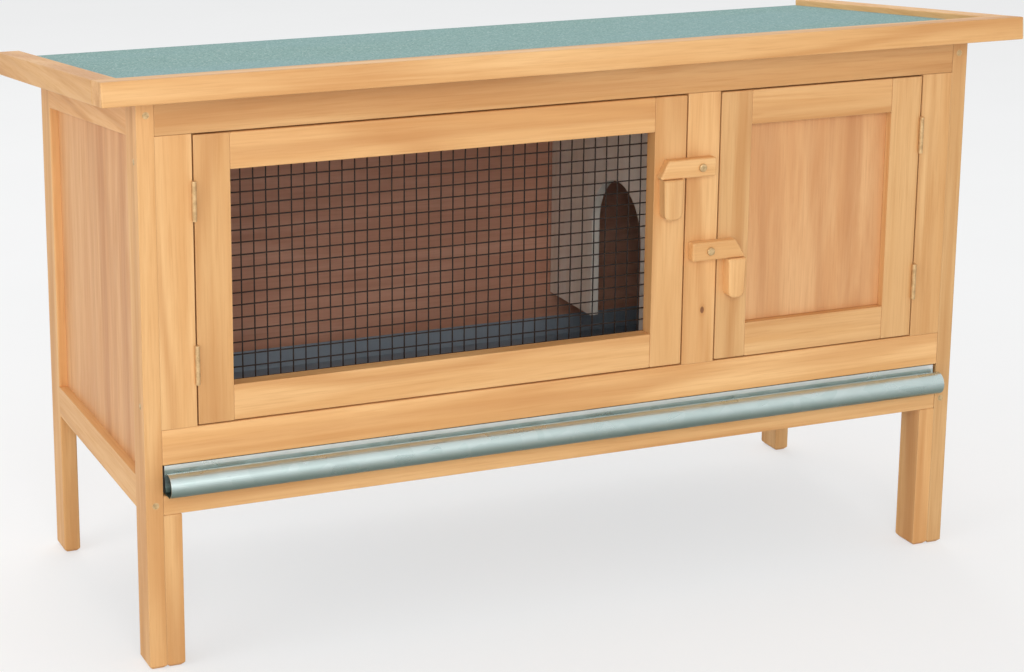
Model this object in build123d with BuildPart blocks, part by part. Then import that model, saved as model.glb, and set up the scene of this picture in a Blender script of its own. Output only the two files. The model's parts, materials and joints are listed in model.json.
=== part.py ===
"""Single-tier wooden rabbit hutch with a wire door, a solid door and a pull-out steel tray.

Millimetres, +Z up, the doors face -Y.  The origin is on the ground, under the middle of the roof.
Every board, panel, hinge, screw and latch is a piece of its own.
"""

import os
from math import cos, radians, sin, tan

from build123d import *

os.makedirs("parts", exist_ok=True)

# Driving sizes of the box that the legs carry
body_width = 890.0
body_depth = 360.0
board = 17.0  # thickness of every rail, stile and door member
post_depth = 34.0
rail_width = 35.0  # face width of stiles and door members
panel = 6.0  # plywood
panel_recess = 9.0  # the plywood lies this far behind the outer faces

# Driving sizes of the roof
front_overhang = 39.0
back_overhang = 17.0
side_overhang = 41.0
roof_angle = 5.8  # degrees, falling to the back
roof_top = 581.0
trim_height = 23.0
front_trim_width = 34.0
side_trim_width = 24.0
felt_below_trim = 6.5
felt = 2.5
deck = 9.0

# Heights of the front, from the ground
leg_clear = 155.0
apron_top = 174.5
slot_top = 204.5
bottom_rail_top = 239.5
header_bottom = 520.5
side_rail_top = 187.0
back_rail_drop = 39.0  # upright face height of the top rails under the roof

# Doors
seam = 1.5  # gap round a door
mullion_centre = 138.0  # right of the middle
mullion_width = 36.0

# Hinges
hinge_length = 38.0
barrel_radius = 2.4
pin_radius = 1.2
pin_clearance = 0.05
knuckle = 12.4
knuckle_gap = 0.2
leaf = 0.6
leaf_gap = 0.15  # from the pin's axis plane to each leaf
leaf_depth = 15.0
hinge_low = 300.0
hinge_high = 457.5
hinge_heights = (hinge_low, hinge_high)

# Turn buttons
button_thickness = 10.0
button_height = 19.0
button_gap = 0.4  # in front of the mullion
pivot_radius = 2.0
handle_thickness = 14.0
handle_height = 41.0
upper_button = 446.5
lower_button = 359.2

# Tray
sheet = 1.0
tray_gap = 2.5  # to the posts on each side
tray_floor = 175.3
tray_wall = 23.5
roll_radius = 11.5
tray_back_gap = 5.0
tray_rail_gap = 1.2  # from the front wall's top to the bottom rail

# Divider
divider = 9.0
divider_bottom = 226.0
doorway_width = 116.0
doorway_top = 391.0
doorway_middle = 180.0  # behind the front faces

# Places worked out from the sizes above
left = -body_width / 2
right = body_width / 2
front = -(front_overhang + body_depth + back_overhang) / 2 + front_overhang
back = front + body_depth
roof_front = front - front_overhang
roof_half = body_width / 2 + side_overhang
tilt = radians(roof_angle)
roof_run = front_overhang + body_depth + back_overhang
roof_length = (roof_run - trim_height * sin(tilt)) / cos(tilt)
roof_low = roof_top - trim_height * cos(tilt)
felt_top = trim_height - felt_below_trim
deck_top = felt_top - felt
deck_bottom = deck_top - deck
roof_plane = Plane(origin=(0, roof_front, roof_low), x_dir=(1, 0, 0), z_dir=(0, sin(tilt), cos(tilt)))

post_left = (left, left + board)
post_right = (right - board, right)
between = (left + board, right - board)
front_post = (front, front + post_depth)
back_post = (back - post_depth, back)
front_board = (front, front + board)
back_board = (back - board, back)
side_run = (front + post_depth, back - post_depth)

stile_left = (left + board, left + board + rail_width)
stile_right = (right - board - rail_width, right - board)
mullion_x = (mullion_centre - mullion_width / 2, mullion_centre + mullion_width / 2)
mesh_door_x = (stile_left[1] + seam, mullion_x[0] - seam)
solid_door_x = (mullion_x[1] + seam, stile_right[0] - seam)
door_z = (bottom_rail_top + seam, header_bottom - seam)
glazed_z = (door_z[0] + rail_width, door_z[1] - rail_width)  # clear height inside a door's rails

hinge_y = front - barrel_radius - 0.2
mesh_hinge_x = stile_left[1] + seam / 2
solid_hinge_x = stile_right[0] - seam / 2


def under_roof(y):
    """Height of the roof deck's underside at a place from front to back."""
    return roof_low + deck_bottom / cos(tilt) - (y - roof_front) * tan(tilt)


def save(name, *pieces):
    """Label a finished piece, made of one or more solids, and write it."""
    whole = Compound([solid for piece in pieces for solid in piece.part.solids()])
    whole.label = name
    export_step(whole, f"parts/{name}.step")


def bore(point, direction, radius, depth):
    """Drill the open part from a point along a direction."""
    with Locations(Plane(origin=point, z_dir=direction)):
        Cylinder(radius, depth, align=(Align.CENTER, Align.CENTER, Align.MIN), mode=Mode.SUBTRACT)


def rod(point, direction, radius, length):
    """Add a round bar from a point along a direction."""
    with Locations(Plane(origin=point, z_dir=direction)):
        Cylinder(radius, length, align=(Align.CENTER, Align.CENTER, Align.MIN))


def straight_board(name, x, y, z, bores=()):
    """A board between low and high limits along X, Y and Z, with its drilled holes."""
    with BuildPart() as piece:
        with BuildSketch(Plane.XY.offset(z[0])):
            with Locations(((x[0] + x[1]) / 2, (y[0] + y[1]) / 2)):
                Rectangle(x[1] - x[0], y[1] - y[0])
        extrude(amount=z[1] - z[0])
        for hole in bores:
            bore(*hole)
    save(name, piece)


def side_profile(name, x, corners, bores=(), foot=0.0):
    """A board cut to a profile of (Y, Z) corners, between two limits along X."""
    with BuildPart() as piece:
        with BuildSketch(Plane.YZ.offset(x[0])):
            Polygon(*corners, align=None)
        extrude(amount=x[1] - x[0])
        if foot > 0:
            chamfer(piece.edges().group_by(Axis.Z)[0], foot)
        for hole in bores:
            bore(*hole)
    save(name, piece)


# Screws through the posts: length, head and shank
screw_head = 3.2
screw_shank = 1.7
screw_head_depth = 2.2
post_screw_length = 60.0
side_screw_length = 32.0
post_screw_heights = (165.5, 540.5)
side_screw_heights = (262.0, 496.0)
post_screw_inset = 9.5
side_screw_inset = 11.0
leg_foot = 3.0

# Each post screw is a start on the surface, a direction and a length
frame_screw_list = []
for x_screw in (left + post_screw_inset, right - post_screw_inset):
    for z_screw in post_screw_heights:
        frame_screw_list.append(((x_screw, front, z_screw), (0, 1, 0), post_screw_length))
for z_screw in side_screw_heights:
    frame_screw_list.append(((left, front + side_screw_inset, z_screw), (1, 0, 0), side_screw_length))
    frame_screw_list.append(((right, front + side_screw_inset, z_screw), (-1, 0, 0), side_screw_length))


def screw_bores(x_low, x_high, y_low, y_high):
    """Holes that the frame screws need in a piece that fills this footprint."""
    holes = []
    for (sx, sy, sz), (dx, dy, dz), length in frame_screw_list:
        crosses_y = dy > 0 and x_low < sx < x_high and y_low < sy + length and sy < y_high
        reach = sorted((sx, sx + dx * length))
        crosses_x = dx != 0 and y_low < sy < y_high and x_low < reach[1] and reach[0] < x_high
        if crosses_y or crosses_x:
            holes.append(((sx, sy, sz), (dx, dy, dz), screw_shank, length))
            holes.append(((sx, sy, sz), (dx, dy, dz), screw_head, screw_head_depth))
    return holes


# Posts and the blocks that thicken the front legs
for side, post_x in (("left", post_left), ("right", post_right)):
    for place, post_y in (("front", front_post), ("back", back_post)):
        outline = [
            (post_y[0], 0),
            (post_y[1], 0),
            (post_y[1], under_roof(post_y[1])),
            (post_y[0], under_roof(post_y[0])),
        ]
        holes = screw_bores(*post_x, *post_y)
        side_profile(f"post_{place}_{side}", post_x, outline, holes, leg_foot)

block_width = 18.0
for side, block_x in (
    ("left", (post_left[1], post_left[1] + block_width)),
    ("right", (post_right[0] - block_width, post_right[0])),
):
    outline = [(front_post[0], 0), (front_post[1], 0), (front_post[1], leg_clear), (front_post[0], leg_clear)]
    side_profile(f"leg_block_{side}", block_x, outline, foot=leg_foot)

# Front frame
header_outline = [
    (front_board[0], header_bottom),
    (front_board[1], header_bottom),
    (front_board[1], under_roof(front_board[1])),
    (front_board[0], under_roof(front_board[0])),
]
side_profile("front_header", between, header_outline)
straight_board("front_bottom_rail", between, front_board, (slot_top, bottom_rail_top))
straight_board("front_apron", between, front_board, (leg_clear, apron_top))

# Screws that hold the hinge leaves
hinge_screw_head = 2.4
hinge_screw_shank = 1.2
hinge_screw_length = 12.0
hinge_screw_y = front + 9.0
hinge_screw_rise = 12.0


def hinge_screw_places(axis_x, toward):
    """Start, direction and length of the screws of the leaves on one side of a hinge line."""
    start = axis_x + toward * leaf_gap
    return [
        ((start, hinge_screw_y, height + rise), (toward, 0, 0))
        for height in hinge_heights
        for rise in (-hinge_screw_rise, hinge_screw_rise)
    ]


def hinge_screw_bores(axis_x, toward):
    """Holes in the wood behind the leaves on one side of a hinge line."""
    return [
        (point, direction, hinge_screw_shank, hinge_screw_length)
        for point, direction in hinge_screw_places(axis_x, toward)
    ]


stile_z = (bottom_rail_top, header_bottom)
straight_board(
    "front_stile_left",
    stile_left,
    front_board,
    stile_z,
    screw_bores(*stile_left, *front_board) + hinge_screw_bores(mesh_hinge_x, -1),
)
straight_board(
    "front_stile_right",
    stile_right,
    front_board,
    stile_z,
    screw_bores(*stile_right, *front_board) + hinge_screw_bores(solid_hinge_x, 1),
)

# The two turn buttons pivot on the mullion
upper_pivot_x = mullion_centre - 6.0
lower_pivot_x = mullion_centre + 6.0
pivot_depth = 14.0
pivot_places = ((upper_pivot_x, upper_button), (lower_pivot_x, lower_button))
straight_board(
    "mullion",
    mullion_x,
    front_board,
    stile_z,
    [((px, front, pz), (0, 1, 0), pivot_radius, pivot_depth) for px, pz in pivot_places],
)

# Sides: a rail below, a sloping rail under the roof and a recessed plywood panel
for side, side_x, panel_x in (
    ("left", post_left, (left + panel_recess, left + panel_recess + panel)),
    ("right", post_right, (right - panel_recess - panel, right - panel_recess)),
):
    rail_holes = screw_bores(*side_x, *side_run)
    bottom_outline = [
        (side_run[0], leg_clear),
        (side_run[1], leg_clear),
        (side_run[1], side_rail_top),
        (side_run[0], side_rail_top),
    ]
    side_profile(f"side_bottom_rail_{side}", side_x, bottom_outline, rail_holes)
    top_outline = [
        (side_run[0], under_roof(side_run[0]) - back_rail_drop),
        (side_run[1], under_roof(side_run[1]) - back_rail_drop),
        (side_run[1], under_roof(side_run[1])),
        (side_run[0], under_roof(side_run[0])),
    ]
    side_profile(f"side_top_rail_{side}", side_x, top_outline, rail_holes)
    panel_outline = [
        (side_run[0], side_rail_top),
        (side_run[1], side_rail_top),
        (side_run[1], under_roof(side_run[1]) - back_rail_drop),
        (side_run[0], under_roof(side_run[0]) - back_rail_drop),
    ]
    side_profile(f"side_panel_{side}", panel_x, panel_outline)

# Back: two rails, a recessed panel and a stile outside its middle
back_rail_bottom = under_roof(back_board[1]) - back_rail_drop
back_top_outline = [
    (back_board[0], back_rail_bottom),
    (back_board[1], back_rail_bottom),
    (back_board[1], under_roof(back_board[1])),
    (back_board[0], under_roof(back_board[0])),
]
side_profile("back_top_rail", between, back_top_outline)
straight_board("back_bottom_rail", between, back_board, (leg_clear, side_rail_top))
back_panel_y = (back - panel_recess - panel, back - panel_recess)
straight_board("back_panel", between, back_panel_y, (side_rail_top, back_rail_bottom))
straight_board(
    "back_centre_stile",
    (-rail_width / 2, rail_width / 2),
    (back_panel_y[1], back),
    (side_rail_top, back_rail_bottom),
)

# Divider with its arched doorway, and the cleats that hold it
divider_x = (mullion_centre - divider / 2, mullion_centre + divider / 2)
divider_y = (front_board[1], back_board[0])
doorway_radius = doorway_width / 2
doorway_y = front + doorway_middle
with BuildPart() as divider_panel:
    with BuildSketch(Plane.YZ.offset(divider_x[0])):
        Polygon(
            (divider_y[0], divider_bottom),
            (divider_y[1], divider_bottom),
            (divider_y[1], under_roof(divider_y[1])),
            (divider_y[0], under_roof(divider_y[0])),
            align=None,
        )
        with Locations((doorway_y, doorway_top - doorway_radius)):
            Circle(doorway_radius, mode=Mode.SUBTRACT)
        with Locations((doorway_y, divider_bottom)):
            Rectangle(
                doorway_width,
                doorway_top - doorway_radius - divider_bottom,
                align=(Align.CENTER, Align.MIN),
                mode=Mode.SUBTRACT,
            )
    extrude(amount=divider)
save("divider_panel", divider_panel)

cleat = 13.0
cleat_x = (divider_x[1], divider_x[1] + cleat)
straight_board(
    "divider_cleat_front",
    cleat_x,
    (front_board[1], front_board[1] + cleat),
    (bottom_rail_top, header_bottom),
)
straight_board(
    "divider_cleat_back",
    cleat_x,
    (back_panel_y[0] - cleat, back_panel_y[0]),
    (bottom_rail_top, back_rail_bottom),
)

# Runners under the tray
runner_top = tray_floor - 0.4
runner_width = 18.0
straight_board(
    "tray_runner_left",
    (between[0], between[0] + runner_width),
    (front_post[1], back_board[0]),
    (leg_clear, runner_top),
)
straight_board(
    "tray_runner_right",
    (between[1] - runner_width, between[1]),
    (front_post[1], back_board[0]),
    (leg_clear, runner_top),
)
straight_board(
    "tray_runner_centre",
    (-rail_width / 2, rail_width / 2),
    (front_board[1], back_board[0]),
    (leg_clear, runner_top - 0.3),
)


def roof_board(name, x, y, z):
    """A board of the roof, between limits along and across the slope and square to it."""
    with BuildPart() as piece:
        with BuildSketch(roof_plane.offset(z[0])):
            with Locations(((x[0] + x[1]) / 2, (y[0] + y[1]) / 2)):
                Rectangle(x[1] - x[0], y[1] - y[0])
        extrude(amount=z[1] - z[0])
    save(name, piece)


# Roof: deck and felt inside a trim on three sides, open at the back where rain runs off
roof_inner_x = (-roof_half + side_trim_width, roof_half - side_trim_width)
roof_board("roof_trim_front", (-roof_half, roof_half), (0, front_trim_width), (0, trim_height))
roof_board(
    "roof_trim_left", (-roof_half, roof_inner_x[0]), (front_trim_width, roof_length), (0, trim_height)
)
roof_board(
    "roof_trim_right", (roof_inner_x[1], roof_half), (front_trim_width, roof_length), (0, trim_height)
)
roof_board("roof_deck", roof_inner_x, (front_trim_width, roof_length), (deck_bottom, deck_top))
roof_board("roof_felt", roof_inner_x, (front_trim_width, roof_length), (deck_top, felt_top))

# Two battens under the deck, inside the side rails
batten = 18.0
batten_y = (front_overhang + post_depth + 6.0, front_overhang + body_depth - post_depth - 6.0)
with BuildPart() as roof_battens:
    with BuildSketch(roof_plane.offset(deck_bottom - batten)):
        with Locations((0, sum(batten_y) / 2)):
            with GridLocations(between[1] - between[0] - batten, 0, 2, 1):
                Rectangle(batten, batten_y[1] - batten_y[0])
    extrude(amount=batten)
save("roof_battens", roof_battens)


def sheet_panel(x, y, z):
    """One flat panel of folded sheet, between limits along X, Y and Z."""
    with BuildPart() as piece:
        with Locations((x[0], y[0], z[0])):
            Box(x[1] - x[0], y[1] - y[0], z[1] - z[0], align=(Align.MIN, Align.MIN, Align.MIN))
    return piece


# Tray: a steel pan of flat panels that meet at its folds, and a rolled grip along its front edge
tray_x = (between[0] + tray_gap, between[1] - tray_gap)
roll_y = front - 9.0
tray_back = back_board[0] - tray_back_gap
roll_opening = 40.0  # degrees left open where the roll comes back to the floor
roll_middle = tray_floor + roll_radius
tray_front = roll_y + roll_radius  # the front wall stands right behind the roll
pan_sides = (tray_front + sheet, tray_back - sheet)
wall_z = (tray_floor + sheet, tray_floor + tray_wall)
front_wall_z = (tray_floor + sheet, slot_top - tray_rail_gap)
tray_panels = (
    sheet_panel(tray_x, (roll_y, tray_back), (tray_floor, tray_floor + sheet)),
    sheet_panel((tray_x[0], tray_x[0] + sheet), pan_sides, wall_z),
    sheet_panel((tray_x[1] - sheet, tray_x[1]), pan_sides, wall_z),
    sheet_panel(tray_x, (tray_back - sheet, tray_back), wall_z),
    sheet_panel(tray_x, (tray_front, tray_front + sheet), front_wall_z),
)
with BuildPart() as tray_roll:
    with BuildSketch(Plane.YZ.offset(tray_x[0])):
        with BuildLine():
            outer = CenterArc((roll_y, roll_middle), roll_radius, -90, roll_opening - 360)
            inner = CenterArc((roll_y, roll_middle), roll_radius - sheet, -90, roll_opening - 360)
            Line(outer @ 0, inner @ 0)
            Line(outer @ 1, inner @ 1)
        make_face()
    extrude(amount=tray_x[1] - tray_x[0])
save("tray_pan", *tray_panels, tray_roll)


def door_frame(door, door_x, hinge_on_left, hinge_x):
    """Two full-height stiles and two rails between them."""
    left_stile = (door_x[0], door_x[0] + rail_width)
    right_stile = (door_x[1] - rail_width, door_x[1])
    toward = 1 if hinge_on_left else -1
    holes = hinge_screw_bores(hinge_x, toward)
    hinge_stile = left_stile if hinge_on_left else right_stile
    latch_stile = right_stile if hinge_on_left else left_stile
    straight_board(f"{door}_hinge_stile", hinge_stile, front_board, door_z, holes)
    straight_board(f"{door}_latch_stile", latch_stile, front_board, door_z)
    rail_x = (left_stile[1], right_stile[0])
    straight_board(f"{door}_top_rail", rail_x, front_board, (glazed_z[1], door_z[1]))
    straight_board(f"{door}_bottom_rail", rail_x, front_board, (door_z[0], glazed_z[0]))
    return rail_x


mesh_clear_x = door_frame("mesh_door", mesh_door_x, True, mesh_hinge_x)
solid_clear_x = door_frame("solid_door", solid_door_x, False, solid_hinge_x)
straight_board(
    "solid_door_panel",
    solid_clear_x,
    (front + panel_recess, front + panel_recess + panel),
    glazed_z,
)

# Welded wire net, stapled to the back of the wire door
net_lap = 12.0
wire = 1.2
net_gaps = (24, 12)
net_size = (
    mesh_clear_x[1] - mesh_clear_x[0] + 2 * net_lap,
    glazed_z[1] - glazed_z[0] + 2 * net_lap,
)
net_middle = ((mesh_clear_x[0] + mesh_clear_x[1]) / 2, (glazed_z[0] + glazed_z[1]) / 2)
net_pitch = ((net_size[0] - wire) / net_gaps[0], (net_size[1] - wire) / net_gaps[1])
with BuildPart() as wire_net:
    with BuildSketch(Plane.XZ.offset(-front_board[1] - wire)):
        with Locations(net_middle):
            Rectangle(*net_size)
            with GridLocations(*net_pitch, *net_gaps):
                Rectangle(net_pitch[0] - wire, net_pitch[1] - wire, mode=Mode.SUBTRACT)
    extrude(amount=wire)
save("mesh_door_wire_net", wire_net)

# Staple crowns over the net's edge, in two rows and two columns
staple_length = 9.0
staple = 1.2
staple_inset = net_lap / 2
staple_counts = (7, 4)
staple_span = (net_size[0] - 2 * staple_inset, net_size[1] - 2 * staple_inset)
with BuildPart() as staples:
    with BuildSketch(Plane.XZ.offset(-front_board[1] - wire - staple)):
        with Locations(net_middle):
            with GridLocations(staple_span[0] / staple_counts[0], staple_span[1], staple_counts[0], 2):
                Rectangle(staple_length, staple)
            with GridLocations(staple_span[0], staple_span[1] / staple_counts[1], 2, staple_counts[1]):
                Rectangle(staple, staple_length)
    extrude(amount=staple)
save("mesh_door_staples", staples)


def handle_block(name, x_middle, top, width):
    """Grip screwed to a latch stile: narrower and rounded at its lower end."""
    taper = 1.5
    with BuildPart() as piece:
        with BuildSketch(Plane.XZ.offset(-front)):
            Polygon(
                (x_middle - width / 2, top),
                (x_middle + width / 2, top),
                (x_middle + width / 2 - taper, top - handle_height),
                (x_middle - width / 2 + taper, top - handle_height),
                align=None,
            )
        extrude(amount=handle_thickness)
        lower_corners = piece.edges().filter_by(Axis.Y).group_by(Axis.Z)[0]
        fillet(lower_corners, width / 3)
        chamfer(piece.faces().sort_by(Axis.Y)[0].edges(), 1.5)
    save(name, piece)


rest_gap = 0.4  # between a closed button and the handle that it rests on
handle_block("mesh_door_handle", 99.5, upper_button - button_height / 2 - rest_gap, 22.0)
handle_block("solid_door_handle", 174.0, lower_button - button_height / 2 - rest_gap, 20.0)


def turn_button(name, pivot_x, pivot_z, toward, tail, reach_top, reach_bottom):
    """Wooden latch turning on a screw: a short tail, and an arm cut off at a slant."""
    with BuildPart() as piece:
        with BuildSketch(Plane.XZ.offset(-front + button_gap)):
            Polygon(
                (pivot_x - toward * tail, pivot_z - button_height / 2),
                (pivot_x - toward * tail, pivot_z + button_height / 2),
                (pivot_x + toward * reach_top, pivot_z + button_height / 2),
                (pivot_x + toward * reach_bottom, pivot_z - button_height / 2),
                align=None,
            )
        extrude(amount=button_thickness)
        fillet(piece.edges().filter_by(Axis.Y), 2.0)
        chamfer(piece.faces().sort_by(Axis.Y)[0].edges(), 1.2)
        bore((pivot_x, front, pivot_z), (0, -1, 0), pivot_radius + pin_clearance, 2 * button_thickness)
    save(name, piece)


turn_button("turn_button_upper", upper_pivot_x, upper_button, -1, 16.0, 37.0, 47.0)
turn_button("turn_button_lower", lower_pivot_x, lower_button, 1, 20.0, 29.0, 41.0)

pivot_head_radius = 4.2
pivot_head = 2.4
head_gap = 0.3
with BuildPart() as pivot_screws:
    for px, pz in pivot_places:
        shank_length = pivot_depth + button_gap + button_thickness + head_gap
        rod((px, front + pivot_depth, pz), (0, -1, 0), pivot_radius, shank_length + 0.2)
        rod((px, front + pivot_depth - shank_length, pz), (0, -1, 0), pivot_head_radius, pivot_head)
    outer_rims = pivot_screws.faces().group_by(Axis.Y)[0].edges()
    fillet(outer_rims, pivot_head * 0.6)
save("turn_button_screws", pivot_screws)


def hinge_leaves(name, axis_x, toward, carries_pin):
    """Leaves of one hinge line: flat plates in the seam, each with its knuckles round the pin."""
    plate_x = sorted((axis_x + toward * leaf_gap, axis_x + toward * (leaf_gap + leaf)))
    half = hinge_length / 2
    with BuildPart() as piece:
        for height in hinge_heights:
            if carries_pin:
                spans = ((height - half, height - half + knuckle), (height + half - knuckle, height + half))
            else:
                half_gap = half - knuckle - knuckle_gap
                spans = ((height - half_gap, height + half_gap),)
            for low, high in spans:
                with BuildSketch(Plane.XY.offset(low)):
                    with Locations((axis_x, hinge_y)):
                        Circle(barrel_radius)
                    with Locations((sum(plate_x) / 2, hinge_y + barrel_radius * 0.7)):
                        Rectangle(leaf, barrel_radius, align=(Align.CENTER, Align.MIN))
                extrude(amount=high - low)
            with BuildSketch(Plane.XY.offset(height - half)):
                with Locations((sum(plate_x) / 2, hinge_y + barrel_radius + 0.5)):
                    Rectangle(leaf, leaf_depth, align=(Align.CENTER, Align.MIN))
            extrude(amount=hinge_length)
            pin_hole = pin_radius if carries_pin else pin_radius + pin_clearance
            bore((axis_x, hinge_y, height - half - 1), (0, 0, 1), pin_hole, hinge_length + 2)
        for point, direction in hinge_screw_places(axis_x, toward):
            bore(point, direction, hinge_screw_head, leaf)
    save(name, piece)


def hinge_screws(name, lines):
    """Flush countersunk screws that hold leaves to the wood; lines lists (axis, direction)."""
    with BuildPart() as piece:
        for axis_x, toward in lines:
            for point, direction in hinge_screw_places(axis_x, toward):
                rod(point, direction, hinge_screw_head, leaf)
                rod(point, direction, hinge_screw_shank, hinge_screw_length)
    save(name, piece)


hinge_leaves("mesh_door_hinge_frame_leaves", mesh_hinge_x, -1, True)
hinge_leaves("mesh_door_hinge_leaves", mesh_hinge_x, 1, False)
hinge_leaves("solid_door_hinge_frame_leaves", solid_hinge_x, 1, True)
hinge_leaves("solid_door_hinge_leaves", solid_hinge_x, -1, False)
hinge_screws("frame_hinge_screws", ((mesh_hinge_x, -1), (solid_hinge_x, 1)))
hinge_screws("mesh_door_hinge_screws", ((mesh_hinge_x, 1),))
hinge_screws("solid_door_hinge_screws", ((solid_hinge_x, -1),))

with BuildPart() as hinge_pins:
    for axis_x in (mesh_hinge_x, solid_hinge_x):
        for height in hinge_heights:
            rod((axis_x, hinge_y, height - hinge_length / 2), (0, 0, 1), pin_radius, hinge_length)
save("hinge_pins", hinge_pins)

with BuildPart() as frame_screws:
    for start, heading, screw_length in frame_screw_list:
        rod(start, heading, screw_head, screw_head_depth)
        rod(start, heading, screw_shank, screw_length)
save("frame_screws", frame_screws)
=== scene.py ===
"""Looks of the wooden rabbit hutch: materials, a knot, wire net, floor, light and camera.

Metres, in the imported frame: +Z up, the doors face -Y.
"""

import json
import math
import random

import bmesh
import bpy
from mathutils import Matrix, Vector


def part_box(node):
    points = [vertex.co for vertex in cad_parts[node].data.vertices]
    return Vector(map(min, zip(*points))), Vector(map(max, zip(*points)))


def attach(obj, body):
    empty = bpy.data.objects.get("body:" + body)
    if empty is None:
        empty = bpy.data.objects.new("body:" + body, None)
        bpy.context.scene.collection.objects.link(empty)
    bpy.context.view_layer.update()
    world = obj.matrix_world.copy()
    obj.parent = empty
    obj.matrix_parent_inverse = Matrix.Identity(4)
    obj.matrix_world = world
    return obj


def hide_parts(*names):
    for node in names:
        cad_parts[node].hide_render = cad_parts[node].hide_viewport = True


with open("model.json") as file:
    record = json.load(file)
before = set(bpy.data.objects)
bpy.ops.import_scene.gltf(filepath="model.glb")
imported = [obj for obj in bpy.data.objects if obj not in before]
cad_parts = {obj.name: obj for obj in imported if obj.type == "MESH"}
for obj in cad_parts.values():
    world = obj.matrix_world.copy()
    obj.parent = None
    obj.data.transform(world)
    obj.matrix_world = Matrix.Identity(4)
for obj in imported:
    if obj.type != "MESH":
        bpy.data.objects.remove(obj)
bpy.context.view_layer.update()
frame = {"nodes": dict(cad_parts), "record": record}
nodes = frame["nodes"]
slots = {s["node"]: s["material_slot"] for s in frame["record"]["subparts"]}

SEED = 20417


class Tree:
    """A material's node tree with short calls for the nodes used here."""

    def __init__(self, name):
        self.mat = bpy.data.materials.new(name)
        self.mat.use_nodes = True
        self.nodes = self.mat.node_tree.nodes
        self.links = self.mat.node_tree.links
        self.bsdf = self.nodes["Principled BSDF"]
        self.coord = self.nodes.new("ShaderNodeTexCoord").outputs["Object"]

    def put(self, value, socket):
        """Link a socket to another one, or set it to a constant."""
        if isinstance(value, bpy.types.NodeSocket):
            self.links.new(value, socket)
        else:
            socket.default_value = value

    def surface(self, key, value):
        """Feed one input of the material's surface."""
        self.put(value, self.bsdf.inputs[key])

    def mapping(self, scale, location=(0, 0, 0)):
        n = self.nodes.new("ShaderNodeMapping")
        self.put(self.coord, n.inputs["Vector"])
        n.inputs["Scale"].default_value = scale
        n.inputs["Location"].default_value = location
        return n.outputs["Vector"]

    def noise(self, vector, scale, detail, rough=0.55, distortion=0.0):
        n = self.nodes.new("ShaderNodeTexNoise")
        self.put(vector, n.inputs["Vector"])
        n.inputs["Scale"].default_value = scale
        n.inputs["Detail"].default_value = detail
        n.inputs["Roughness"].default_value = rough
        n.inputs["Distortion"].default_value = distortion
        return n.outputs["Fac"]

    def cells(self, vector, scale, output):
        n = self.nodes.new("ShaderNodeTexVoronoi")
        self.put(vector, n.inputs["Vector"])
        n.inputs["Scale"].default_value = scale
        return n.outputs[output]

    def split(self, kind, value):
        """The outputs of a Separate Color or Separate XYZ node."""
        n = self.nodes.new("ShaderNodeSeparate" + kind)
        self.put(value, n.inputs[0])
        return n.outputs

    def math(self, op, a, b):
        n = self.nodes.new("ShaderNodeMath")
        n.operation = op
        self.put(a, n.inputs[0])
        self.put(b, n.inputs[1])
        return n.outputs[0]

    def vector_math(self, op, a, b):
        n = self.nodes.new("ShaderNodeVectorMath")
        n.operation = op
        self.put(a, n.inputs[0])
        self.put(b, n.inputs[1])
        return n.outputs

    def span(self, value, low, high, to_low=0.0, to_high=1.0):
        """Smoothly map low to to_low and high to to_high, and hold both ends."""
        n = self.nodes.new("ShaderNodeMapRange")
        n.interpolation_type = "SMOOTHSTEP"
        self.put(value, n.inputs["Value"])
        limits = {"From Min": low, "From Max": high, "To Min": to_low, "To Max": to_high}
        for key, limit in limits.items():
            n.inputs[key].default_value = limit
        return n.outputs["Result"]

    def mix(self, fac, a, b, blend="MIX"):
        n = self.nodes.new("ShaderNodeMix")
        n.data_type = "RGBA"
        n.blend_type = blend
        self.put(fac, n.inputs[0])
        for value, socket in ((a, n.inputs[6]), (b, n.inputs[7])):
            self.put(value if isinstance(value, bpy.types.NodeSocket) else (*value, 1.0), socket)
        return n.outputs[2]

    def bump(self, height, strength, distance, normal=None):
        n = self.nodes.new("ShaderNodeBump")
        self.put(height, n.inputs["Height"])
        self.put(strength, n.inputs["Strength"])
        n.inputs["Distance"].default_value = distance
        if normal is not None:
            self.put(normal, n.inputs["Normal"])
        return n.outputs["Normal"]

    def distance(self, point, stretch):
        """Distance from a point, with each axis stretched."""
        offset = self.vector_math("SUBTRACT", self.coord, point)[0]
        stretched = self.vector_math("MULTIPLY", offset, stretch)[0]
        n = self.nodes.new("ShaderNodeVectorMath")
        n.operation = "LENGTH"
        self.put(stretched, n.inputs[0])
        return n.outputs["Value"]

    def rounded_normal(self, radius):
        """The surface's normal, turned near edges as if they were rounded."""
        n = self.nodes.new("ShaderNodeBevel")
        n.inputs["Radius"].default_value = radius
        return n.outputs["Normal"]

    def worn(self, radius):
        """1 along edges, 0 on flats: how far a rounded normal leaves the true one."""
        true_normal = self.nodes.new("ShaderNodeNewGeometry").outputs["Normal"]
        likeness = self.vector_math("DOT_PRODUCT", self.rounded_normal(radius), true_normal)["Value"]
        return self.span(likeness, 0.999, 0.90)


# Each wood as its base, light and dark colour
HONEY = ((0.71, 0.375, 0.140), (0.83, 0.500, 0.220), (0.54, 0.235, 0.070))
PLY = ((0.66, 0.33, 0.135), (0.76, 0.435, 0.20), (0.50, 0.215, 0.080))
REDDISH = ((0.58, 0.285, 0.185), (0.68, 0.370, 0.255), (0.42, 0.180, 0.110))
BARE = ((0.86, 0.80, 0.70), (0.90, 0.86, 0.78), (0.76, 0.66, 0.53))
KNOT = (0.20, 0.075, 0.028)
OUTSIDE_TINT = (1.14, 1.17, 0.74)  # makes the outside of the reddish back panel honey
OUTSIDE_BLEND = 0.0005  # half the depth over which that tint comes in

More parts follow.
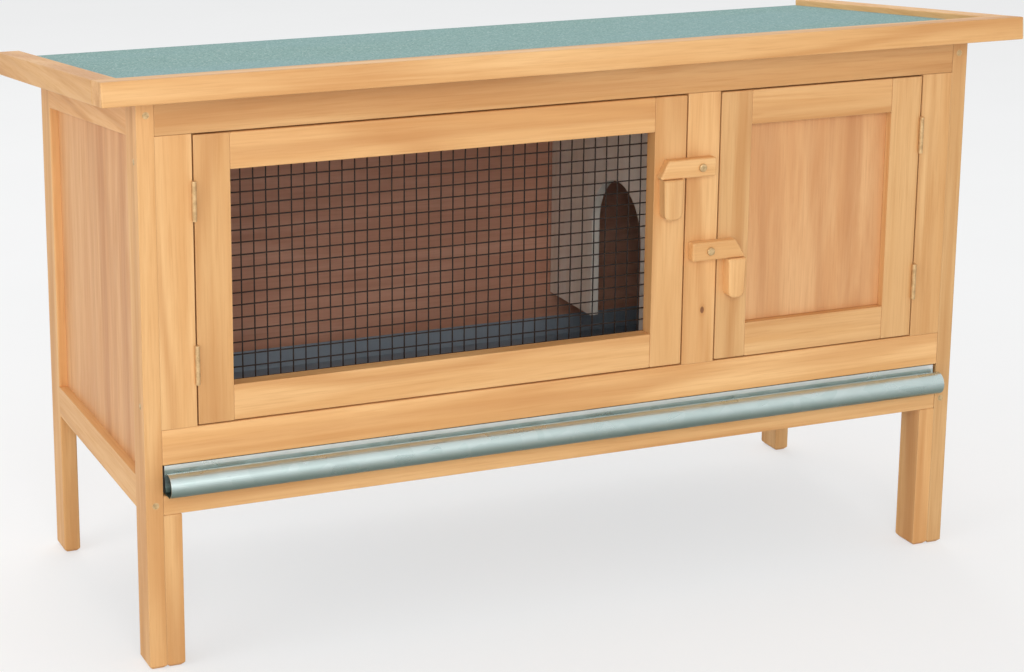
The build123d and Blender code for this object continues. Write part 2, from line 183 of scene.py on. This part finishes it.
# How each cut shows its figure and how dark its late growth is
SAWN = {"figure": (3.2, 95.0), "scale": 0.6, "distortion": 0.7, "late_share": 0.54}
ROTARY_CUT = {"figure": (5.0, 60.0), "scale": 0.45, "distortion": 1.6, "late_share": 0.30}

# Scales along and across the grain: a larger number gives a finer pattern
FIBRE = (30.0, 900.0)
GROWTH = (1.1, 9.0)
STREAK = (0.9, 38.0)
PATCH = (6.0, 6.0)
RING_FOLDS = 11.0  # a larger number folds the growth into more rings

# A knot's bands as outer radius, inner radius, both in knot sizes, and strength
KNOT_HALO = (2.4, 0.7, 0.55)
KNOT_CORE = (1.05, 0.75, 0.9)
KNOT_STRETCH = 0.62  # below 1 makes it longer along the grain
KNOT_WAVE = 0.8

WOOD_EDGE_WEAR = 0.0016
WOOD_EDGE_ROUND = 0.0012
WOOD_BUMP = 0.0004


def along_grain(axis, along, across):
    """One value on the grain's axis and another on the two axes across it."""
    return tuple(along if i == axis else across for i in range(3))


def wood(name, axis, seed, tint, knots, is_ply, colours, outer_y):
    """Stained softwood, or rotary-cut plywood, with its grain along one axis."""
    t = Tree(name)
    rng = random.Random(SEED + seed)
    base, light, dark = (tuple(min(1.0, c * tint) for c in colour) for colour in colours)
    place = tuple(rng.uniform(-9, 9) for _ in range(3))
    cut = ROTARY_CUT if is_ply else SAWN

    def grain(scales):
        return t.mapping(along_grain(axis, *scales), place)

    lines = grain(cut["figure"])
    figure = t.noise(lines, cut["scale"], detail=5.0, rough=0.6, distortion=cut["distortion"])
    growth = t.noise(grain(GROWTH), 1.0, detail=2.0, rough=0.4, distortion=0.3)
    late = t.span(t.math("PINGPONG", t.math("MULTIPLY", growth, RING_FOLDS), 1.0), 0.55, 1.0)
    strands = t.noise(grain(FIBRE), 0.55, detail=3.0, rough=0.6)
    streak = t.noise(grain(STREAK), 1.0, detail=2.0)
    patch = t.noise(grain(PATCH), 1.0, detail=3.0)

    colour = t.mix(t.span(figure, 0.30, 0.70), base, light)
    colour = t.mix(t.math("MULTIPLY", late, cut["late_share"]), colour, dark)
    colour = t.mix(t.span(strands, 0.42, 0.78, to_high=0.36), colour, dark)
    colour = t.mix(t.span(streak, 0.50, 0.70, to_high=0.60), colour, dark)
    colour = t.mix(t.span(patch, 0.35, 0.70, to_high=0.28), colour, base)
    for point, size in knots:
        gap = t.distance(point, along_grain(axis, KNOT_STRETCH, 1.0))
        wave = t.math("MULTIPLY", t.math("SUBTRACT", figure, 0.5), size * KNOT_WAVE)
        wavy = t.math("ADD", gap, wave)
        for (outer, inner, strength), shade in ((KNOT_HALO, dark), (KNOT_CORE, KNOT)):
            band = t.span(wavy, size * outer, size * inner, to_high=strength)
            colour = t.mix(band, colour, shade)
    if outer_y is not None:
        depth = t.split("XYZ", t.coord)[1]
        outside = t.span(depth, outer_y - OUTSIDE_BLEND, outer_y + OUTSIDE_BLEND)
        colour = t.mix(outside, colour, OUTSIDE_TINT, "MULTIPLY")
    colour = t.mix(t.math("MULTIPLY", t.worn(WOOD_EDGE_WEAR), 0.45), colour, light)

    height = t.math("ADD", t.math("MULTIPLY", strands, 0.6), t.math("MULTIPLY", late, 0.4))
    t.surface("Base Color", colour)
    t.surface("Roughness", t.span(strands, 0.3, 0.8, to_low=0.46, to_high=0.62))
    t.surface("Normal", t.bump(height, 0.35, WOOD_BUMP, t.rounded_normal(WOOD_EDGE_ROUND)))
    t.surface("Specular IOR Level", 0.35)
    return t.mat


GRANULES = 620.0  # cells to a metre
GRANULE_BUMP = 0.0009


def felt_skin():
    """Green roofing felt with mineral granules, a few of them pale."""
    t = Tree("roofing_felt")
    grains = t.cells(t.coord, GRANULES, "Distance")
    tone = t.split("Color", t.cells(t.coord, GRANULES, "Color"))
    clouds = t.noise(t.mapping((3.0, 5.0, 5.0)), 1.0, detail=5.0, rough=0.6)
    colour = t.mix(tone[0], (0.145, 0.275, 0.250), (0.300, 0.470, 0.440))
    colour = t.mix(t.span(tone[1], 0.90, 1.0, to_high=0.7), colour, (0.62, 0.70, 0.67))
    colour = t.mix(t.span(clouds, 0.35, 0.72, to_high=0.42), colour, (0.250, 0.410, 0.430))
    height = t.math("ADD", t.math("MULTIPLY", grains, -1.0), t.math("MULTIPLY", clouds, 0.5))
    t.surface("Base Color", colour)
    t.surface("Roughness", t.span(grains, 0.0, 0.6, to_low=0.62, to_high=0.85))
    t.surface("Normal", t.bump(height, 0.6, GRANULE_BUMP))
    return t.mat


# Zones of the tray, measured back or up from the lowest front corner of its box
PAN_INSIDE = (0.0235, 0.0260)  # back, from within the front wall
ROLL_PAINTED_SHADE = (0.0175, 0.0045)  # up; painted shade: the roll darkened towards its underside, as a dark reflection below it would show
PAINTED_LIGHT_LIP = (0.0231, 0.0243)  # up; painted light: the front wall above the roll made pale, though the rail shades it
SHEET_EDGE_WEAR = 0.0004
DRAWING_MARKS = 0.0003


def galvanised():
    """Zinc-coated sheet: crystal spangle, drawing marks along the roll and dull patches, with painted
    shade under the roll and painted light on the front wall above it.
    """
    t = Tree("galvanised_sheet")
    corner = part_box("tray_pan")[0]
    warp = t.noise(t.mapping((14.0, 40.0, 40.0)), 1.0, detail=3.0)
    crystals = t.split("Color", t.cells(t.mapping((60.0, 110.0, 110.0)), 1.0, "Color"))
    marks = t.noise(t.mapping((3.0, 700.0, 700.0)), 1.0, detail=3.0)
    place = t.split("XYZ", t.coord)
    inside = t.span(place[1], *(corner.y + back for back in PAN_INSIDE))
    painted_roll_shade = t.span(place[2], *(corner.z + up for up in ROLL_PAINTED_SHADE), to_high=0.82)
    painted_light_lip = t.span(place[2], *(corner.z + up for up in PAINTED_LIGHT_LIP))

    colour = t.mix(t.span(crystals[0], 0.0, 1.0, to_high=0.45), (0.50, 0.60, 0.585), (0.62, 0.70, 0.69))
    colour = t.mix(t.span(warp, 0.5, 0.75, to_high=0.35), colour, (0.40, 0.49, 0.47))
    colour = t.mix(t.math("MULTIPLY", t.worn(SHEET_EDGE_WEAR), 0.4), colour, (0.78, 0.82, 0.82))
    # Painted shade: the roll darker towards its underside
    colour = t.mix(painted_roll_shade, colour, (0.135, 0.200, 0.165))
    # Painted light: the front wall above the roll made pale
    colour = t.mix(painted_light_lip, colour, (0.82, 0.83, 0.81))
    colour = t.mix(inside, colour, (0.310, 0.365, 0.415))

    spangle = t.span(crystals[1], 0.0, 1.0, to_low=0.26, to_high=0.38)
    rough = t.math("ADD", spangle, t.span(warp, 0.4, 0.8, to_high=0.14))
    rough = t.math("ADD", rough, t.span(inside, 0.0, 1.0, to_high=0.22))
    t.surface("Base Color", colour)
    t.surface("Metallic", t.span(inside, 0.0, 1.0, to_low=0.88, to_high=0.30))
    t.surface("Roughness", rough)
    strength = t.span(inside, 0.0, 1.0, to_low=0.10, to_high=0.0)
    t.surface("Normal", t.bump(marks, strength, DRAWING_MARKS))
    return t.mat


METAL_EDGE_WEAR = 0.0006
METAL_BUMP = 0.0002


def metal(name, bright, dull, roughness, metallic, spots_per_metre):
    """Plated or coated hardware with duller worn patches."""
    t = Tree(name)
    spots = t.noise(t.coord, spots_per_metre, detail=4.0, rough=0.6)
    rubbed = tuple(min(1.0, c * 1.5) for c in bright)
    colour = t.mix(t.span(spots, 0.35, 0.68), bright, dull)
    colour = t.mix(t.math("MULTIPLY", t.worn(METAL_EDGE_WEAR), 0.5), colour, rubbed)
    t.surface("Base Color", colour)
    t.surface("Metallic", metallic)
    t.surface("Roughness", t.span(spots, 0.3, 0.7, to_low=roughness, to_high=roughness + 0.22))
    t.surface("Normal", t.bump(spots, 0.15, METAL_BUMP))
    return t.mat


BRASSY = metal("yellow_plated_steel", (0.68, 0.46, 0.23), (0.50, 0.32, 0.15), 0.42, 0.7, 120.0)
SCREW = metal("plated_screws", (0.68, 0.48, 0.25), (0.46, 0.31, 0.15), 0.42, 0.75, 260.0)
WIRE = metal("coated_wire", (0.018, 0.012, 0.010), (0.034, 0.022, 0.016), 0.62, 0.0, 400.0)
WIRE.node_tree.nodes["Principled BSDF"].inputs["Specular IOR Level"].default_value = 0.2
FELT = felt_skin()
ZINC = galvanised()

# A knot low on the mullion, a little right of its middle
KNOT_SIZE = 0.0024
KNOT_RIGHT = 0.004
KNOT_UP = 0.056
mullion_low, mullion_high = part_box("mullion")
mullion_middle = (mullion_low + mullion_high) / 2
knot_place = Vector((mullion_middle.x + KNOT_RIGHT, mullion_low.y, mullion_low.z + KNOT_UP))
KNOTS = {"mullion": [(knot_place, KNOT_SIZE)]}

SLOT_MATERIAL = {
    "felt": FELT,
    "galvanised": ZINC,
    "wire": WIRE,
    "hinge_steel": BRASSY,
    "screw_steel": SCREW,
}

# Brightness of ten boards, set by measure against the photo; the others spread over a range
TONES = {
    "front_header": 0.88,
    "front_bottom_rail": 1.08,
    "post_front_left": 0.99,
    "post_front_right": 0.87,
    "solid_door_hinge_stile": 0.93,
    "solid_door_latch_stile": 0.90,
    "mesh_door_hinge_stile": 0.93,
    "roof_trim_front": 1.00,
    "turn_button_upper": 1.02,
    "turn_button_lower": 1.00,
}
TONE_LOW = 0.95
TONE_RANGE = 0.11
GOLDEN = 0.61803  # steps through the range without repeating

PANEL_LOOK = {
    "back_panel": REDDISH,
    "divider_panel": BARE,
    "divider_cleat_front": BARE,
    "divider_cleat_back": BARE,
}
VERTICAL_PANELS = ("solid_door_panel", "side_panel_left", "side_panel_right")


def grain_axis(name):
    """Grain runs up some panels, and along the longest side of every other piece."""
    if name in VERTICAL_PANELS:
        return 2
    low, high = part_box(name)
    size = high - low
    return max(range(3), key=lambda i: size[i])


def board_wood(index, name):
    """The wood of one board or panel, with its own grain, tone and knots."""
    is_ply = slots[name] == "plywood"
    tone = TONES.get(name, TONE_LOW + TONE_RANGE * ((index * GOLDEN) % 1.0))
    look = PANEL_LOOK.get(name, PLY if is_ply else HONEY)
    outer_y = sum(c.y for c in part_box(name)) / 2 if name == "back_panel" else None
    knots = KNOTS.get(name, ())
    return wood("wood_" + name, grain_axis(name), index, tone, knots, is_ply, look, outer_y)


for index, (name, obj) in enumerate(sorted(nodes.items())):
    if slots[name] in SLOT_MATERIAL:
        material = SLOT_MATERIAL[slots[name]]
    else:
        material = board_wood(index, name)
    obj.data.materials.clear()
    obj.data.materials.append(material)
    for polygon in obj.data.polygons:
        polygon.use_smooth = False

# Eased edges by slot, left out on drilled boards, where they leave slivers, and on three thin panels
EASED_EDGE = {"fir": 0.0011, "plywood": 0.0006}
MERGE_DISTANCE = 1e-5
SHARP = math.radians(30)
UNEASED_STARTS = ("post_front", "side_", "front_stile", "mullion", "turn_button_", "divider_panel")
for name, obj in nodes.items():
    uneased = name.startswith(UNEASED_STARTS) or name.endswith("_hinge_stile")
    if slots[name] not in EASED_EDGE or uneased:
        continue
    weld = obj.modifiers.new("weld", "WELD")
    weld.merge_threshold = MERGE_DISTANCE
    bevel = obj.modifiers.new("eased_edges", "BEVEL")
    bevel.width = EASED_EDGE[slots[name]]
    bevel.segments = 2
    bevel.limit_method = "ANGLE"
    bevel.angle_limit = SHARP


def mesh_object(name, mesh, material):
    """A new object in the scene from a bmesh, which it frees."""
    data = bpy.data.meshes.new(name)
    mesh.to_mesh(data)
    mesh.free()
    data.materials.append(material)
    obj = bpy.data.objects.new(name, data)
    bpy.context.scene.collection.objects.link(obj)
    return obj


# Welded wire net at its true pitch, in two layers that cross
WIRE_RADIUS = 0.00072
WIRE_SIDES = 8
WIRE_DRIFT = 0.00022  # how far a wire wanders from its line
LAYER_OFFSET = WIRE_RADIUS * 0.8
UPRIGHT_PITCH = 0.0127
CROSS_PITCH = 0.01215
FIRST_UPRIGHT = 0.0023  # right of the hinge stile's edge
FIRST_CROSS = 0.0020  # below the top rail's edge
UPRIGHT_STEPS = range(-2, 40)
CROSS_STEPS = range(-3, 24)
UPRIGHT_POINTS = 6
CROSS_POINTS = 9

wobble = random.Random(SEED)


def tube(mesh, points, radius):
    """A closed round wire through points, all lying near one straight line."""
    direction = (points[-1] - points[0]).normalized()
    side = direction.orthogonal().normalized()
    other = direction.cross(side)
    rings = []
    for p in points:
        ring = []
        for k in range(WIRE_SIDES):
            a = 2 * math.pi * k / WIRE_SIDES
            ring.append(mesh.verts.new(p + (side * math.cos(a) + other * math.sin(a)) * radius))
        rings.append(ring)
    for low_ring, high_ring in zip(rings, rings[1:]):
        for k in range(WIRE_SIDES):
            n = (k + 1) % WIRE_SIDES
            mesh.faces.new((low_ring[k], low_ring[n], high_ring[n], high_ring[k]))
    mesh.faces.new(list(reversed(rings[0])))
    mesh.faces.new(rings[-1])


def wire_lines(start, pitch, steps, low, high):
    """Places of one layer's wires, as far as they lie inside the net."""
    places = [start + k * pitch for k in steps]
    return [place for place in places if low + WIRE_RADIUS < place < high - WIRE_RADIUS]


def wire_path(low, high, count):
    """Pairs of a drift sideways and a place along one wire, from its low end to its high end."""
    drifts = [wobble.uniform(-WIRE_DRIFT, WIRE_DRIFT) for _ in range(count)]
    return [(drift, low + (high - low) * i / (count - 1)) for i, drift in enumerate(drifts)]


net_low, net_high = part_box("mesh_door_wire_net")
net_y = (net_low.y + net_high.y) / 2
upright_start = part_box("mesh_door_hinge_stile")[1].x + FIRST_UPRIGHT
cross_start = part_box("mesh_door_top_rail")[0].z - FIRST_CROSS
wires = bmesh.new()
for x in wire_lines(upright_start, UPRIGHT_PITCH, UPRIGHT_STEPS, net_low.x, net_high.x):
    path = wire_path(net_low.z, net_high.z, UPRIGHT_POINTS)
    tube(wires, [Vector((x + drift, net_y + LAYER_OFFSET, z)) for drift, z in path], WIRE_RADIUS)
for z in wire_lines(cross_start, -CROSS_PITCH, CROSS_STEPS, net_low.z, net_high.z):
    path = wire_path(net_low.x, net_high.x, CROSS_POINTS)
    tube(wires, [Vector((x, net_y - LAYER_OFFSET, z + drift)) for drift, x in path], WIRE_RADIUS)
net = mesh_object("welded_wire_net", wires, WIRE)
for polygon in net.data.polygons:
    polygon.use_smooth = True
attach(net, "mesh_door")
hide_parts("mesh_door_wire_net")

FLOOR_REACH = 20.0
FLOOR_Z = -0.0004  # a hair under the feet
FLOOR_GLOW = 0.55  # share of its own white that the camera sees


def pale_floor():
    """Nearly white ground that partly shows its own white, but only to the camera."""
    t = Tree("pale_floor")
    soft = t.noise(t.coord, 3.0, detail=3.0)
    colour = t.mix(t.span(soft, 0.3, 0.7), (0.90, 0.90, 0.895), (0.92, 0.92, 0.915))
    t.surface("Base Color", colour)
    t.surface("Roughness", 0.9)
    t.surface("Specular IOR Level", 0.1)
    own = t.nodes.new("ShaderNodeEmission")
    own.inputs["Color"].default_value = (1, 1, 1, 1)
    ray = t.nodes.new("ShaderNodeLightPath")
    both = t.nodes.new("ShaderNodeMixShader")
    t.put(t.math("MULTIPLY", ray.outputs["Is Camera Ray"], FLOOR_GLOW), both.inputs[0])
    t.put(t.bsdf.outputs[0], both.inputs[1])
    t.put(own.outputs[0], both.inputs[2])
    t.put(both.outputs[0], t.nodes["Material Output"].inputs["Surface"])
    return t.mat


def stage_floor():
    """A large square of ground, for the picture only."""
    mesh = bmesh.new()
    signs = ((-1, -1), (1, -1), (1, 1), (-1, 1))
    mesh.faces.new([mesh.verts.new((a * FLOOR_REACH, b * FLOOR_REACH, FLOOR_Z)) for a, b in signs])
    mesh_object("floor", mesh, pale_floor())


stage_floor()

FILL_COLOUR = (0.96, 0.98, 1.0, 1)
FILL_STRENGTH = 0.62
WHITE = (1, 1, 1, 1)


def studio_world():
    """White where the camera, a reflection or glass sees it; a dimmer, cooler fill as light."""
    world = bpy.data.worlds.new("studio")
    bpy.context.scene.world = world
    world.use_nodes = True
    world_nodes, links = world.node_tree.nodes, world.node_tree.links
    world_nodes.clear()

    def larger(a, b):
        n = world_nodes.new("ShaderNodeMath")
        n.operation = "MAXIMUM"
        links.new(a, n.inputs[0])
        links.new(b, n.inputs[1])
        return n.outputs[0]

    def background(colour, strength):
        n = world_nodes.new("ShaderNodeBackground")
        n.inputs["Color"].default_value = colour
        n.inputs["Strength"].default_value = strength
        return n.outputs[0]

    ray = world_nodes.new("ShaderNodeLightPath").outputs
    seen = larger(ray["Is Camera Ray"], larger(ray["Is Glossy Ray"], ray["Is Transmission Ray"]))
    blend = world_nodes.new("ShaderNodeMixShader")
    links.new(seen, blend.inputs[0])
    links.new(background(FILL_COLOUR, FILL_STRENGTH), blend.inputs[1])
    links.new(background(WHITE, 1.0), blend.inputs[2])
    out = world_nodes.new("ShaderNodeOutputWorld")
    links.new(blend.outputs[0], out.inputs["Surface"])


studio_world()

LAMP_TARGET = Vector((0.0, 0.0, 0.33))


def lamp(name, place, size, power):
    """A square soft box aimed at the hutch; its size in metres, its power in watts."""
    data = bpy.data.lights.new(name, "AREA")
    data.shape = "SQUARE"
    data.size = size
    data.energy = power
    obj = bpy.data.objects.new(name, data)
    obj.location = place
    obj.rotation_euler = (LAMP_TARGET - Vector(place)).to_track_quat("-Z", "Y").to_euler()
    bpy.context.scene.collection.objects.link(obj)


lamp("key_front", place=(-0.9, -3.2, 1.5), size=1.6, power=46.0)
lamp("soft_left", place=(-3.0, -0.9, 1.5), size=1.8, power=22.0)
lamp("top_back", place=(0.3, 1.8, 3.0), size=1.8, power=26.0)

# The photo's viewpoint, fitted to edges and corners
CAMERA_PLACE = (-1.03987, -2.30780, 0.99754)
AZIMUTH = math.radians(22.8202)  # right of straight back
PITCH = math.radians(14.1957)  # downwards
ROLL = math.radians(-0.2427)
SENSOR_WIDTH = 36.0
LENS = 87.5175
SHIFT = (0.06395, -0.10814)


def photo_camera():
    """The scene's camera, at the photo's viewpoint."""
    forward = Vector(
        (math.sin(AZIMUTH) * math.cos(PITCH), math.cos(AZIMUTH) * math.cos(PITCH), -math.sin(PITCH))
    )
    level = forward.cross(Vector((0, 0, 1))).normalized()
    down = forward.cross(level)
    camera_x = level * math.cos(ROLL) + down * math.sin(ROLL)
    camera_y = level * math.sin(ROLL) - down * math.cos(ROLL)
    turn = Matrix((camera_x, camera_y, -forward)).transposed().to_4x4()
    data = bpy.data.cameras.new("photo_camera")
    data.sensor_width = SENSOR_WIDTH
    data.lens = LENS
    data.shift_x, data.shift_y = SHIFT
    data.clip_end = 100.0
    camera = bpy.data.objects.new("photo_camera", data)
    camera.matrix_world = Matrix.Translation(Vector(CAMERA_PLACE)) @ turn
    bpy.context.scene.collection.objects.link(camera)
    bpy.context.scene.camera = camera


photo_camera()
bpy.context.scene.view_settings.view_transform = "Standard"
